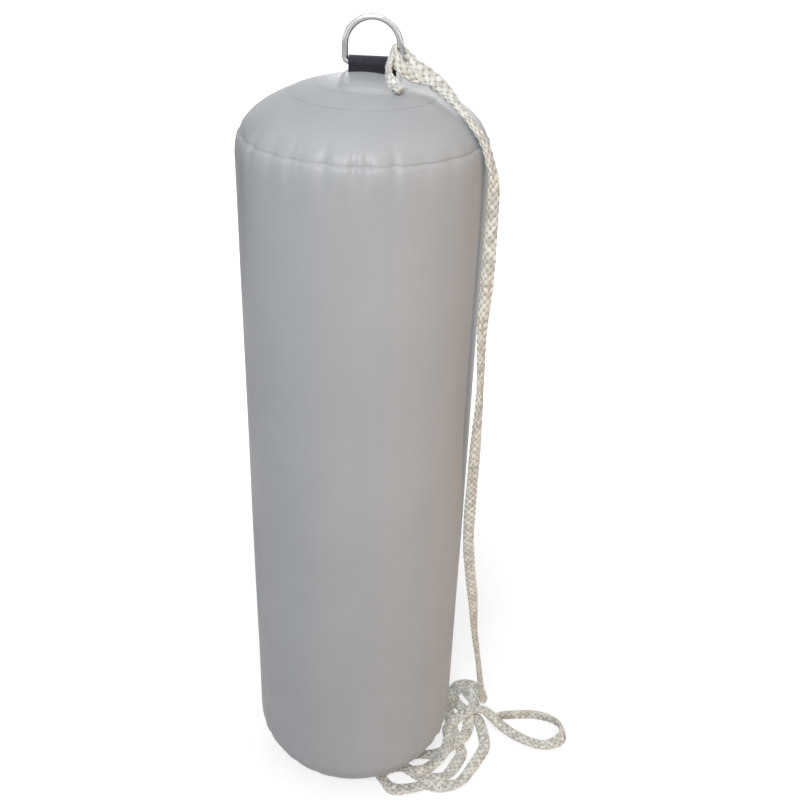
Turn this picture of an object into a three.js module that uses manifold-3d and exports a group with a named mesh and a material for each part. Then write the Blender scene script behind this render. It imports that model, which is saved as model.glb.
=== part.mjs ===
// Inflatable boat fender: an upright cylinder of coated fabric that stands on its lower end.
// A webbing loop between two round patches on the top dome holds a D-ring, and a flat braided
// line is spliced round one leg of the ring, runs over the shoulder and lies in a heap.
// Units are millimetres and +Z is up. The origin is the middle of the flat spot that the fender
// stands on, +X points to the side where the line hangs, and the inflation valve faces +Y.

import * as THREE from 'three';
import * as BufferGeometryUtils from 'three/addons/utils/BufferGeometryUtils.js';
import Module from 'manifold-3d';

const wasm = await Module();
wasm.setup();

// Driving dimensions of the air chamber
const BODY_RADIUS = 125;
const BODY_HEIGHT = 877;
const SEAM_INSET = 6; // how far the two end seams pull the fabric in
const SHOULDER_RISE = 18; // height over which the tube swells out again beside a seam
const DOME_RISE = 52; // height of a free end panel above its seam
const DOME_FULLNESS = 1.67; // exponent of the dome's superellipse, 2 is a plain ellipse
const FOOT_SINK = 5; // how much of the lower dome is pressed flat by the weight
const FOOT_RADIUS = 45;
const PUCKER_COUNT = 22; // gathers round each end seam
const PUCKER_DEPTH = 1.5;
const PUCKER_REACH = 46; // how far a gather runs into the tube wall

// Driving dimensions of the strap fitting on the top dome
const FABRIC_THICKNESS = 0.9;
const BASE_PATCH_RADIUS = 72;
const STRAP_PATCH_RADIUS = 50;
const WEBBING_WIDTH = 45;
const WEBBING_THICKNESS = 2;
const WEBBING_TAIL_REACH = 35; // from the loop to the end of each tail
const WEBBING_SLACK = 0.6; // between the loop and the ring's bar
const WEBBING_TURN = 3; // radius at which the webbing turns up out of the patch
const TAIL_MARGIN = 2; // how far the raised part of the upper patch reaches past the tails
const TAIL_SLOPE = 7; // width over which it comes down again
const TAIL_COVER_GAP = 0.9; // between a tail and the patch over it
const FITTING_OFFSET = 7.5; // the fitting sits this far towards the line's side
const SEAT_GAP = 0.3; // between pieces that touch

// Driving dimensions of the D-ring
const RING_WIRE = 6;
const RING_SIDE_ROOM = 0.5; // between the webbing's edge and a leg of the ring
const RING_CORNER_RADIUS = 4;
const RING_LEG = 10.5; // straight part between a corner and the bow
const RING_BAR_LIFT = 12.8; // bar's centre above the crown of the dome

// Driving dimensions of the line
const LINE_WIDTH = 13;
const LINE_THICKNESS = 6;
const LINE_SIDES = 10;
const SPLICE_WIDTH = 19; // where the tail is buried inside the hollow braid
const SPLICE_THICKNESS = 12;

// Driving dimensions of the inflation valve on the back
const VALVE_HEIGHT = 735;
const VALVE_PATCH_RADIUS = 36;
const VALVE_BARREL_RADIUS = 15;
const VALVE_BARREL_DEPTH = 20;
const VALVE_FLANGE_RADIUS = 25;
const VALVE_FLANGE_THICKNESS = 1.6;
const VALVE_COLLAR_RISE = 5; // above the flange
const CAP_RADIUS = 17.5;
const CAP_TOP_THICKNESS = 2.7;
const CAP_SKIRT_LAP = 3.2; // how far the skirt reaches down over the collar
const CAP_GRIP_COUNT = 12;
const CAP_GRIP_RADIUS = 1.6;
const CAP_KNOB_RADIUS = 4;
const CAP_KNOB_HEIGHT = 1.6;
const CAP_NECK_RADIUS = 2.6;
const COLLAR_INSET = 0.5; // from the barrel's wall to the collar's
const EDGE_BREAK = 0.8; // chamfer on the moulded edges
const LEASH_THICKNESS = 1.2;
const LEASH_WIDTH = 5;
const LEASH_RING_WIDTH = 3.4;

// Facets
const CHAMBER_SIDES = PUCKER_COUNT * 4;
const ROUND_SIDES = 36;
const PATCH_RINGS = 7;

// Derived sizes
const SEAM_RADIUS = BODY_RADIUS - SEAM_INSET;
const TOP_SEAM_Z = BODY_HEIGHT - DOME_RISE;
const FOOT_RISE = DOME_RISE - FOOT_SINK;
const RING_HALF_WIDTH = (WEBBING_WIDTH + RING_WIRE) / 2 + RING_SIDE_ROOM;
const RING_BAR_Z = BODY_HEIGHT + RING_BAR_LIFT;

// Materials
const finish = (color, roughness, metalness = 0) =>
  new THREE.MeshStandardMaterial({ color, roughness, metalness });

const object = new THREE.Group();

function addPiece(name, geometry, material, parent = object) {
  const piece = new THREE.Mesh(geometry, material);
  piece.name = name;
  parent.add(piece);
  return piece;
}

// Closed meshes and solids

function merged(geometry) {
  const bare = geometry.clone();
  bare.deleteAttribute('normal');
  bare.deleteAttribute('uv');
  return BufferGeometryUtils.mergeVertices(bare, 1e-4);
}

function toSolid(geometry) {
  const mesh = merged(geometry);
  const vertProperties = new Float32Array(mesh.attributes.position.array);
  const triVerts = new Uint32Array(mesh.index.array);
  return new wasm.Manifold(new wasm.Mesh({ numProp: 3, vertProperties, triVerts }));
}

function toGeometry(solid) {
  const mesh = solid.getMesh();
  const geometry = new THREE.BufferGeometry();
  geometry.setAttribute('position', new THREE.BufferAttribute(mesh.vertProperties, 3));
  geometry.setIndex(new THREE.BufferAttribute(mesh.triVerts, 1));
  geometry.computeVertexNormals();
  return geometry;
}

// Revolves [radius, z] pairs about the Z axis.
function revolve(profile, sides) {
  const points = profile.map(([radius, z]) => new THREE.Vector2(radius, z));
  return new THREE.LatheGeometry(points, sides).rotateX(Math.PI / 2);
}

function moveVertices(geometry, shift) {
  const position = geometry.attributes.position;
  const point = new THREE.Vector3();
  for (let i = 0; i < position.count; i += 1) {
    point.fromBufferAttribute(position, i);
    shift(point);
    position.setXYZ(i, point.x, point.y, point.z);
  }
  geometry.computeVertexNormals();
  return geometry;
}

function cylinderAlongZ(radius, low, high, sides = ROUND_SIDES) {
  const cylinder = new THREE.CylinderGeometry(radius, radius, high - low, sides);
  return cylinder.rotateX(Math.PI / 2).translate(0, 0, (low + high) / 2);
}

function boxBetween(low, high) {
  const size = high.map((value, axis) => value - low[axis]);
  const middle = high.map((value, axis) => (value + low[axis]) / 2);
  return new THREE.BoxGeometry(...size).translate(...middle);
}

// Drops a superellipse makes below its crown, from 0 at the crown to the full rise at the rim.
function domeDrop(radius) {
  const share = Math.min(radius / SEAM_RADIUS, 1);
  return DOME_RISE * (1 - (1 - share ** DOME_FULLNESS) ** (1 / DOME_FULLNESS));
}

const domeTop = (radius) => BODY_HEIGHT - domeDrop(radius);

// Points of a quarter superellipse from its crown to its rim, spaced evenly by angle.
function domeCurve(innerRadius, rise, count) {
  const power = 2 / DOME_FULLNESS;
  return Array.from({ length: count }, (_, index) => {
    const angle = ((index + 1) / count) * (Math.PI / 2);
    const radius = innerRadius + (SEAM_RADIUS - innerRadius) * Math.sin(angle) ** power;
    return [radius, rise * (1 - Math.cos(angle) ** power)];
  });
}

// Points of the rounded shoulder from just past the seam to the full width of the tube.
function shoulderCurve(count) {
  return Array.from({ length: count }, (_, index) => {
    const angle = ((index + 1) / count) * (Math.PI / 2);
    return [SEAM_RADIUS + SEAM_INSET * Math.sin(angle), SHOULDER_RISE * (1 - Math.cos(angle))];
  });
}

// Rows of the tube wall beside a shoulder, where the gathers die away, measured from the seam
const wallRows = [0.6, 1].map((share) => SHOULDER_RISE + (PUCKER_REACH - SHOULDER_RISE) * share);

function chamberProfile() {
  const foot = domeCurve(FOOT_RADIUS, FOOT_RISE, 6);
  const footShoulder = shoulderCurve(3).map(([radius, rise]) => [radius, FOOT_RISE + rise]);
  const footWall = wallRows.map((row) => [BODY_RADIUS, FOOT_RISE + row]);
  const top = domeCurve(0, DOME_RISE, 9).map(([radius, drop]) => [radius, BODY_HEIGHT - drop]);
  const topShoulder = shoulderCurve(3).map(([radius, drop]) => [radius, TOP_SEAM_Z - drop]);
  const topWall = wallRows.map((row) => [BODY_RADIUS, TOP_SEAM_Z - row]);
  const downwards = [[0, BODY_HEIGHT], ...top, ...topShoulder, ...topWall];
  return [[0, 0], [FOOT_RADIUS, 0], ...foot, ...footShoulder, ...footWall, ...downwards.reverse()];
}

// How deep the gathers are at an angle round the seam, from 0 to 1, no two alike.
function puckerShape(angle) {
  const wave = 0.5 + 0.5 * Math.cos(PUCKER_COUNT * angle + 0.9 * Math.sin(3 * angle));
  return wave ** 2 * (0.7 + 0.3 * Math.cos(5 * angle + 1));
}

// Gathers fade towards the crown of the dome and down the wall.
function puckerStrength(radius, z) {
  const middle = BODY_HEIGHT / 2;
  const seamZ = z > middle ? TOP_SEAM_Z : FOOT_RISE;
  const towardsMiddle = z > middle ? seamZ - z : z - seamZ;
  if (towardsMiddle > 0) {
    return Math.max(0, 1 - towardsMiddle / PUCKER_REACH);
  }
  const rimShare = radius / SEAM_RADIUS;
  return Math.max(0, (rimShare - 0.8) / 0.2);
}

function airChamber() {
  const wall = moveVertices(revolve(chamberProfile(), CHAMBER_SIDES), (point) => {
    const radius = Math.hypot(point.x, point.y);
    if (radius < FOOT_RADIUS * 1.01) return;
    const depth = PUCKER_DEPTH * puckerShape(Math.atan2(point.y, point.x));
    const factor = 1 - (depth * puckerStrength(radius, point.z)) / radius;
    point.x *= factor;
    point.y *= factor;
  });
  const pocketDepth = VALVE_BARREL_DEPTH + SEAT_GAP;
  const pocket = cylinderAlongZ(VALVE_BARREL_RADIUS + SEAT_GAP, -pocketDepth, SEAM_INSET);
  pocket.rotateX(-Math.PI / 2).translate(0, BODY_RADIUS, VALVE_HEIGHT);
  return toGeometry(toSolid(wall).subtract(toSolid(pocket)));
}

// Strap fitting on the top dome

// The webbing seen from the side, half of it: [y, z] along its middle line, from the end of a
// tail, in along the dome, up beside the bar and over it. Tail heights are measured above the
// crown of the dome and follow the dome's fall afterwards.
const webbingSeatLift = 2 * SEAT_GAP + FABRIC_THICKNESS + WEBBING_THICKNESS / 2;
const webbingLoopRadius = RING_WIRE / 2 + WEBBING_SLACK + WEBBING_THICKNESS / 2;
const webbingNeck = WEBBING_THICKNESS / 2 + SEAT_GAP / 2;
const webbingNeckZ = BODY_HEIGHT + webbingSeatLift + WEBBING_TURN;

function webbingMiddleLine() {
  const line = [];
  const tailStart = webbingNeck + WEBBING_TURN;
  for (let step = 0; step <= 4; step += 1) {
    const y = tailStart + WEBBING_TAIL_REACH * (1 - step / 4);
    line.push([y, domeTop(y) + webbingSeatLift]);
  }
  for (let step = 1; step <= 3; step += 1) {
    const angle = (step / 3) * (Math.PI / 2);
    const y = tailStart - WEBBING_TURN * Math.sin(angle);
    line.push([y, webbingNeckZ - WEBBING_TURN * Math.cos(angle)]);
  }
  const meet = Math.asin(webbingNeck / webbingLoopRadius);
  for (let step = 0; step <= 8; step += 1) {
    const angle = meet + 0.5 + (Math.PI - meet - 0.5) * (step / 8);
    line.push([webbingLoopRadius * Math.sin(angle), RING_BAR_Z - webbingLoopRadius * Math.cos(angle)]);
  }
  return line;
}

// Both faces of a strip along a line of [a, b] points, offset by half a thickness.
function stripOutline(line, thickness) {
  const faces = [1, -1].map((side) => line.map(([a, b], index) => {
    const before = line[Math.max(index - 1, 0)];
    const after = line[Math.min(index + 1, line.length - 1)];
    const run = Math.hypot(after[0] - before[0], after[1] - before[1]);
    const across = [-(after[1] - before[1]) / run, (after[0] - before[0]) / run];
    const offset = (side * thickness) / 2;
    return new THREE.Vector2(a + across[0] * offset, b + across[1] * offset);
  }));
  return new THREE.Shape([...faces[0], ...faces[1].reverse()]);
}

function webbingLoop() {
  const half = webbingMiddleLine();
  const mirrored = half.slice(0, -1).map(([y, z]) => [-y, z]).reverse();
  const outline = stripOutline([...half, ...mirrored], WEBBING_THICKNESS);
  const strip = new THREE.ExtrudeGeometry(outline, {
    depth: WEBBING_WIDTH, steps: 5, bevelEnabled: false,
  });
  // The outline's x and y become Y and Z, and its depth becomes X.
  strip.rotateY(Math.PI / 2).rotateX(Math.PI / 2);
  strip.translate(FITTING_OFFSET - WEBBING_WIDTH / 2, 0, 0);
  return moveVertices(strip, (point) => {
    const lift = point.z - BODY_HEIGHT - webbingSeatLift - WEBBING_THICKNESS / 2;
    const seated = THREE.MathUtils.clamp(1 - lift / WEBBING_TURN, 0, 1);
    const away = Math.hypot(point.x, point.y);
    point.z -= seated * (domeDrop(away) - domeDrop(Math.abs(point.y)));
  });
}

// A thin round patch that follows the dome, with an extra lift that may vary over it.
function domePatch(radius, seat, extraLift) {
  const top = [];
  const under = [];
  for (let ring = 1; ring <= PATCH_RINGS; ring += 1) {
    top.push([(radius * ring) / PATCH_RINGS, FABRIC_THICKNESS]);
    under.push([(radius * ring) / PATCH_RINGS, 0]);
  }
  const profile = [[0, 0], ...under, ...top.reverse(), [0, FABRIC_THICKNESS]];
  return moveVertices(revolve(profile, ROUND_SIDES), (point) => {
    const away = Math.hypot(point.x, point.y);
    point.z += domeTop(away) + seat + extraLift(point.x, point.y);
  });
}

const basePatch = () => domePatch(BASE_PATCH_RADIUS, SEAT_GAP, () => 0);

// The upper patch is bonded over the two webbing tails, which stand up under it.
function strapPatch() {
  const seat = 2 * SEAT_GAP + FABRIC_THICKNESS;
  const tailLift = WEBBING_THICKNESS + TAIL_COVER_GAP;
  const halfWidth = WEBBING_WIDTH / 2 + TAIL_MARGIN;
  const halfLength = webbingNeck + WEBBING_TURN + WEBBING_TAIL_REACH + TAIL_MARGIN;
  const patch = domePatch(STRAP_PATCH_RADIUS, seat, (x, y) => {
    const beside = Math.max(Math.abs(x - FITTING_OFFSET) - halfWidth, Math.abs(y) - halfLength, 0);
    return tailLift * THREE.MathUtils.smoothstep(TAIL_SLOPE - beside, 0, TAIL_SLOPE);
  });
  const slotHalfWidth = WEBBING_WIDTH / 2 + SEAT_GAP;
  const slotHalfGap = webbingNeck + WEBBING_TURN + SEAT_GAP;
  const slot = boxBetween(
    [FITTING_OFFSET - slotHalfWidth, -slotHalfGap, BODY_HEIGHT - DOME_RISE],
    [FITTING_OFFSET + slotHalfWidth, slotHalfGap, BODY_HEIGHT + DOME_RISE],
  );
  return toGeometry(toSolid(patch).subtract(toSolid(slot)));
}

// D-ring

// The wire's middle line: along the bar, round a corner, up a leg, over the bow and back down.
class RingLine extends THREE.Curve {
  constructor() {
    super();
    const corner = RING_CORNER_RADIUS;
    const side = RING_HALF_WIDTH;
    const bowZ = corner + RING_LEG;
    this.outline = new THREE.Path();
    this.outline.moveTo(0, 0);
    this.outline.lineTo(side - corner, 0);
    this.outline.absarc(side - corner, corner, corner, -Math.PI / 2, 0, false);
    this.outline.lineTo(side, bowZ);
    this.outline.absarc(0, bowZ, side, 0, Math.PI, false);
    this.outline.lineTo(-side, corner);
    this.outline.absarc(corner - side, corner, corner, Math.PI, 1.5 * Math.PI, false);
    this.outline.lineTo(0, 0);
  }

  getPoint(share) {
    const { x, y } = this.outline.getPoint(share);
    return new THREE.Vector3(x, 0, y);
  }
}

function ringWire() {
  const section = ellipseSection(RING_WIRE, RING_WIRE, 10);
  const swept = new THREE.ExtrudeGeometry(section, { steps: 52, extrudePath: new RingLine() });
  // The line closes on itself, so the two end faces of the sweep are left out.
  const wall = swept.groups.find((group) => group.materialIndex === 1);
  const closed = new THREE.BufferGeometry();
  const from = wall.start * 3;
  const corners = swept.attributes.position.array.slice(from, from + wall.count * 3);
  closed.setAttribute('position', new THREE.BufferAttribute(corners, 3));
  const ring = BufferGeometryUtils.mergeVertices(closed, 1e-3);
  ring.computeVertexNormals();
  return ring.translate(FITTING_OFFSET, 0, RING_BAR_Z);
}

// Line

function ellipseSection(width, thickness, sides) {
  const corners = Array.from({ length: sides }, (_, index) => {
    const angle = ((index + 0.5) / sides) * 2 * Math.PI;
    return new THREE.Vector2((width / 2) * Math.cos(angle), (thickness / 2) * Math.sin(angle));
  });
  return new THREE.Shape(corners);
}

// A smooth route for a flat line. Each stop is [x, y, z] and each face is the direction in
// which the line's flat side looks there.
class FlatRoute extends THREE.CatmullRomCurve3 {
  constructor(stops, faces) {
    super(stops.map((stop) => new THREE.Vector3(...stop)));
    this.faces = faces.map((face) => new THREE.Vector3(...face));
  }

  computeFrenetFrames(segments) {
    const tangents = [];
    const normals = [];
    const binormals = [];
    for (let index = 0; index <= segments; index += 1) {
      const share = index / segments;
      const tangent = this.getTangentAt(share);
      const place = this.getUtoTmapping(share) * (this.points.length - 1);
      const before = Math.min(Math.floor(place), this.points.length - 2);
      const face = this.faces[before].clone().lerp(this.faces[before + 1], place - before);
      const flat = face.addScaledVector(tangent, -face.dot(tangent)).normalize();
      tangents.push(tangent);
      binormals.push(flat);
      normals.push(flat.clone().cross(tangent));
    }
    return { tangents, normals, binormals };
  }
}

function flatLine(stops, faces, steps, width = LINE_WIDTH, thickness = LINE_THICKNESS) {
  const section = ellipseSection(width, thickness, LINE_SIDES);
  return new THREE.ExtrudeGeometry(section, { steps, extrudePath: new FlatRoute(stops, faces) });
}

// The eye round the ring's leg: from its throat behind the leg, through the ring and back in front
const ringEyeStops = [
  [44.3, 6.2, 890.8], [38.5, 8.6, 894.5], [31.5, 10, 898], [25, 6, 900.2], [23.6, 0, 900],
  [24, -6, 899.4], [27.5, -10.6, 896.6], [34, -11, 893.6], [39.5, -9.6, 891],
  [44.3, -7.6, 888.9],
];
const ringEyeFaces = [
  [0.2, 1, 0.3], [0, 1, 0.4], [-0.4, 1, 0.6], [-0.5, 0.5, 1], [0, 0, 1], [-0.2, -0.4, 1],
  [-0.2, -1, 0.5], [0, -1, 0.3], [0.1, -1, 0.3], [0.2, -1, 0.3],
];

// The cut end of the tail, down in front of the webbing to lie on the upper patch
const stubStops = [
  [21.9, -16.2, 892.6], [21.2, -18.6, 888.2], [22.4, -22.6, 884.3], [27, -29.8, 881.5],
  [35.6, -39, 879.2],
];
const stubFaces = [
  [-0.4, -1, 0.3], [-0.4, -1, 0.3], [-0.3, -1, 0.6], [-0.1, -0.5, 1], [0, -0.2, 1],
];

// The buried splice, from the eye's throat down to the dome
const ringSpliceStops = [
  [47.6, -0.7, 888.2], [57, -2.2, 882], [66, -5.5, 876.3], [74.5, -11, 870.8], [82, -18, 865.4],
  [88.6, -25.4, 860.6],
];
const ringSpliceFaces = [
  [0.5, -0.4, 0.9], [0.5, -0.6, 0.8], [0.4, -0.7, 0.7], [0.4, -0.7, 0.7], [0.5, -0.5, 0.8],
  [0.7, -0.2, 0.9],
];

// From the splice over the dome and shoulder, down beside the body and into the heap
const fallStops = [
  [89.4, -26.2, 859.4], [97.8, -32.8, 852.3], [106.3, -38.7, 843.9], [113.1, -42.2, 835.8],
  [118.9, -44.3, 826], [123.4, -44.8, 813], [127.6, -43.8, 797], [129.8, -42.6, 780],
  [131.2, -42, 736], [131.3, -42, 683], [129.9, -42, 638], [131.6, -42, 568],
  [131.7, -40, 491], [132.2, -28.1, 401], [133.7, -19.6, 351], [139.1, -9.5, 298],
  [146.6, 2.1, 241], [152.9, 16, 178], [162.3, 32, 111], [171.2, 49.5, 42],
  [173.9, 57.2, 17.2],
];
const fallFaces = [
  [0.7, -0.2, 0.9], [0.8, -0.3, 0.8], [0.9, -0.3, 0.5], [1, -0.4, 0.3], [1, -0.4, 0.2],
  [1, -0.5, 0.2], [0.8, -0.8, 0.1], [0.5, -1, 0], [0.2, -1, 0], [0.3, -1, 0],
  [0.7, -0.7, 0], [0.9, -0.3, 0], [0.5, -0.9, 0], [0.1, -1, 0], [0.4, -0.9, 0],
  [0.1, -1, 0.1], [0.5, -0.8, 0.1], [0.9, -0.4, 0.2], [1, -0.2, 0.3], [0.9, -0.5, 0.3],
  [0.8, -0.5, 0.6],
];

// The heap on the floor, from where the line lands to the eye at its end
const heapStops = [
  [174.1, 57.7, 15.6], [175, 61.6, 8.6], [176, 68, 5], [174, 78, 3.8], [165, 89, 3.8], [152, 93, 3.8],
  [139, 87, 3.8], [133, 72, 3.8], [140, 56, 3.8], [154, 42, 3.8], [168, 27, 3.8],
  [177, 6, 3.8], [177, -18, 3.8], [170, -42, 3.8], [159, -63, 3.8], [143, -81, 3.8],
  [122, -90, 3.8], [100, -92, 3.8], [79, -97, 3.8], [61, -97, 3.8], [49, -88, 3.8],
  [48, -76, 3.8], [58, -67, 3.8], [74, -68, 3.8], [92, -76, 3.8], [111, -79, 7.1],
  [129, -71, 3.8], [141, -54, 3.8], [146, -32, 3.8], [141, -10, 3.8], [133, 10, 3.8],
  [131, 32, 3.8], [133, 51, 9.4], [138, 64, 10.8], [148, 70, 7.4], [157, 65, 3.8],
  [160, 52, 8], [158, 32, 10.6], [154, 9, 3.8], [147, -14, 10.8], [132, -30, 7.4],
  [113, -38, 3.8], [94, -41, 3.8], [79, -47, 4.3], [72, -58, 9.1], [79, -69, 10.9],
  [93, -71, 11], [109, -62, 7.7], [121, -45, 10], [128, -23, 15.1], [130, 0, 10.2],
  [140, 20, 11.6], [155, 29, 17.4], [170, 34, 15.3], [182, 34, 11], [191, 28, 7],
];
const heapFaces = heapStops.map((_, index) => (index < 2 ? [0.8, -0.5, 0.6 + index] : [0, 0, 1]));

// The spliced eye at the line's end, out along the near side and back along the far side
const endEyeStops = [
  [191.6, 27.7, 6.4], [199, 22, 4.2], [210, 12, 3.8], [226, 1, 3.8], [244, -7, 3.8],
  [262, -9, 3.8], [277, -3, 4.4], [286, 9, 5.6], [283, 25, 6.8], [268, 36, 7.1], [248, 40, 7.1],
  [228, 38.5, 7.1], [212, 36, 7.1], [200, 34.4, 7.1],
];
const endEyeFaces = [
  [0, 0, 1], [0, 0, 1], [0, 0, 1], [0, 0, 1], [0, 0, 1], [0, 0, 1], [0.3, -0.2, 1], [1, 0, 0.8],
  [1, 0.5, 0.3], [0.3, 1, 0.1], [0, 1, 0], [0, 1, 0], [0, 1, 0], [0, 1, 0],
];

// Inflation valve, built with +Z out of the wall and turned to face +Y

// Height of the round wall beside the valve's middle, where the wall falls away.
const wallFall = (across) => Math.sqrt(BODY_RADIUS ** 2 - across ** 2) - BODY_RADIUS;

const bendToWall = (geometry) => moveVertices(geometry, (point) => {
  point.z += wallFall(point.x);
});

function valvePatch() {
  const hole = VALVE_BARREL_RADIUS + 2 * SEAT_GAP;
  const middle = (hole + VALVE_PATCH_RADIUS) / 2;
  const high = SEAT_GAP + FABRIC_THICKNESS;
  const profile = [
    [hole, SEAT_GAP], [middle, SEAT_GAP], [VALVE_PATCH_RADIUS, SEAT_GAP],
    [VALVE_PATCH_RADIUS, high], [middle, high], [hole, high], [hole, SEAT_GAP],
  ];
  return bendToWall(revolve(profile, ROUND_SIDES));
}

const flangeLow = 2 * SEAT_GAP + FABRIC_THICKNESS;
const flangeHigh = flangeLow + VALVE_FLANGE_THICKNESS;
const collarHigh = flangeHigh + VALVE_COLLAR_RISE;
const collarRadius = VALVE_BARREL_RADIUS - COLLAR_INSET;
const capLow = collarHigh - CAP_SKIRT_LAP;
const capInnerHigh = collarHigh + SEAT_GAP;
const capHigh = capInnerHigh + CAP_TOP_THICKNESS;

function valveBody() {
  const rim = (VALVE_FLANGE_RADIUS + VALVE_BARREL_RADIUS) / 2;
  const flange = bendToWall(revolve([
    [0, flangeLow], [collarRadius, flangeLow], [rim, flangeLow],
    [VALVE_FLANGE_RADIUS, flangeLow + VALVE_FLANGE_THICKNESS / 2],
    [VALVE_FLANGE_RADIUS - EDGE_BREAK, flangeHigh], [rim, flangeHigh],
    [collarRadius, flangeHigh], [0, flangeHigh],
  ], ROUND_SIDES));
  const barrel = revolve([
    [0, -VALVE_BARREL_DEPTH], [VALVE_BARREL_RADIUS - EDGE_BREAK, -VALVE_BARREL_DEPTH],
    [VALVE_BARREL_RADIUS, EDGE_BREAK - VALVE_BARREL_DEPTH], [VALVE_BARREL_RADIUS, flangeLow],
    [collarRadius, flangeLow], [collarRadius, collarHigh - EDGE_BREAK],
    [collarRadius - EDGE_BREAK, collarHigh], [0, collarHigh],
  ], ROUND_SIDES);
  return toGeometry(toSolid(flange).add(toSolid(barrel)));
}

function valveCap() {
  const inner = collarRadius + SEAT_GAP;
  const knobLow = capHigh + LEASH_THICKNESS + 2 * SEAT_GAP;
  const knobHigh = knobLow + CAP_KNOB_HEIGHT;
  const lowBreak = EDGE_BREAK / 2;
  const shell = toSolid(revolve([
    [0, capInnerHigh], [inner, capInnerHigh], [inner, capLow], [CAP_RADIUS - lowBreak, capLow],
    [CAP_RADIUS, capLow + lowBreak], [CAP_RADIUS, capHigh - EDGE_BREAK],
    [CAP_RADIUS - EDGE_BREAK, capHigh], [CAP_NECK_RADIUS, capHigh], [CAP_NECK_RADIUS, knobLow],
    [CAP_KNOB_RADIUS, knobLow], [CAP_KNOB_RADIUS, knobHigh - EDGE_BREAK],
    [CAP_KNOB_RADIUS - EDGE_BREAK, knobHigh], [0, knobHigh],
  ], ROUND_SIDES));
  // Finger grooves round the skirt
  const past = 2 * EDGE_BREAK;
  let cap = shell;
  for (let index = 0; index < CAP_GRIP_COUNT; index += 1) {
    const angle = ((index + 0.5) / CAP_GRIP_COUNT) * 2 * Math.PI;
    const groove = cylinderAlongZ(CAP_GRIP_RADIUS, capLow - past, capHigh + past, 8);
    const reach = CAP_RADIUS + CAP_GRIP_RADIUS * 0.4;
    groove.translate(reach * Math.cos(angle), reach * Math.sin(angle), 0);
    cap = cap.subtract(toSolid(groove));
  }
  return toGeometry(cap);
}

// A soft strap with a ring at each end: one lies round the collar, one under the cap's knob.
function capLeash() {
  const lowRing = flangeHigh + SEAT_GAP;
  const highRing = capHigh + SEAT_GAP;
  const outside = CAP_RADIUS + 2 * SEAT_GAP;
  const ring = (inner, outer, low) => toSolid(revolve([
    [inner, low], [outer, low], [outer, low + LEASH_THICKNESS], [inner, low + LEASH_THICKNESS],
    [inner, low],
  ], ROUND_SIDES));
  const collarHole = collarRadius + SEAT_GAP;
  const knobHole = CAP_NECK_RADIUS + SEAT_GAP;
  const collarRing = ring(collarHole, outside + LEASH_THICKNESS, lowRing);
  const knobRing = ring(knobHole, knobHole + LEASH_RING_WIDTH, highRing);
  const middleLow = lowRing + LEASH_THICKNESS / 2;
  const middleHigh = highRing + LEASH_THICKNESS / 2;
  const bow = (middleHigh - middleLow) / 2;
  const line = [[CAP_KNOB_RADIUS + 1, middleHigh]];
  for (let step = 0; step <= 8; step += 1) {
    const angle = (step / 8) * Math.PI;
    line.push([outside + bow * Math.sin(angle), middleLow + bow * (1 + Math.cos(angle))]);
  }
  const outline = stripOutline(line, LEASH_THICKNESS);
  const strap = new THREE.ExtrudeGeometry(outline, { depth: LEASH_WIDTH, bevelEnabled: false });
  strap.rotateX(Math.PI / 2).translate(0, LEASH_WIDTH / 2, 0);
  return toGeometry(collarRing.add(toSolid(strap)).add(knobRing));
}

// Assembly

const coatedFabric = () => finish(0xb4b6b6, 0.5);
const lineFinish = () => finish(0xdedbd0, 0.8);
const greyPlastic = () => finish(0x8f9393, 0.45);

addPiece('air_chamber', airChamber(), coatedFabric());
addPiece('base_patch', basePatch(), coatedFabric());
addPiece('strap_patch', strapPatch(), coatedFabric());
addPiece('webbing_loop', webbingLoop(), finish(0x14161c, 0.85));
addPiece('d_ring', ringWire(), finish(0xc4c6c8, 0.18, 1));
addPiece('line_ring_eye', flatLine(ringEyeStops, ringEyeFaces, 14), lineFinish());
addPiece('line_stub', flatLine(stubStops, stubFaces, 6), lineFinish());
addPiece('line_ring_splice', flatLine(
  ringSpliceStops, ringSpliceFaces, 7, SPLICE_WIDTH, SPLICE_THICKNESS,
), lineFinish());
addPiece('line_fall', flatLine(fallStops, fallFaces, 28), lineFinish());
addPiece('line_heap', flatLine(heapStops, heapFaces, 56), lineFinish());
addPiece('line_end_eye', flatLine(endEyeStops, endEyeFaces, 18), lineFinish());

const valve = new THREE.Group();
valve.position.set(0, BODY_RADIUS, VALVE_HEIGHT);
valve.rotation.x = -Math.PI / 2;
object.add(valve);
addPiece('valve_patch', valvePatch(), coatedFabric(), valve);
addPiece('valve_body', valveBody(), greyPlastic(), valve);
addPiece('valve_cap', valveCap(), greyPlastic(), valve);
addPiece('cap_leash', capLeash(), greyPlastic(), valve);

export default object;
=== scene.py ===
"""Inflatable boat fender: a domed bag of coated fabric with a webbing-held ring and a flat braided line."""

import math

import bmesh
import bpy
import numpy as np
from mathutils import Matrix, Vector


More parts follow.
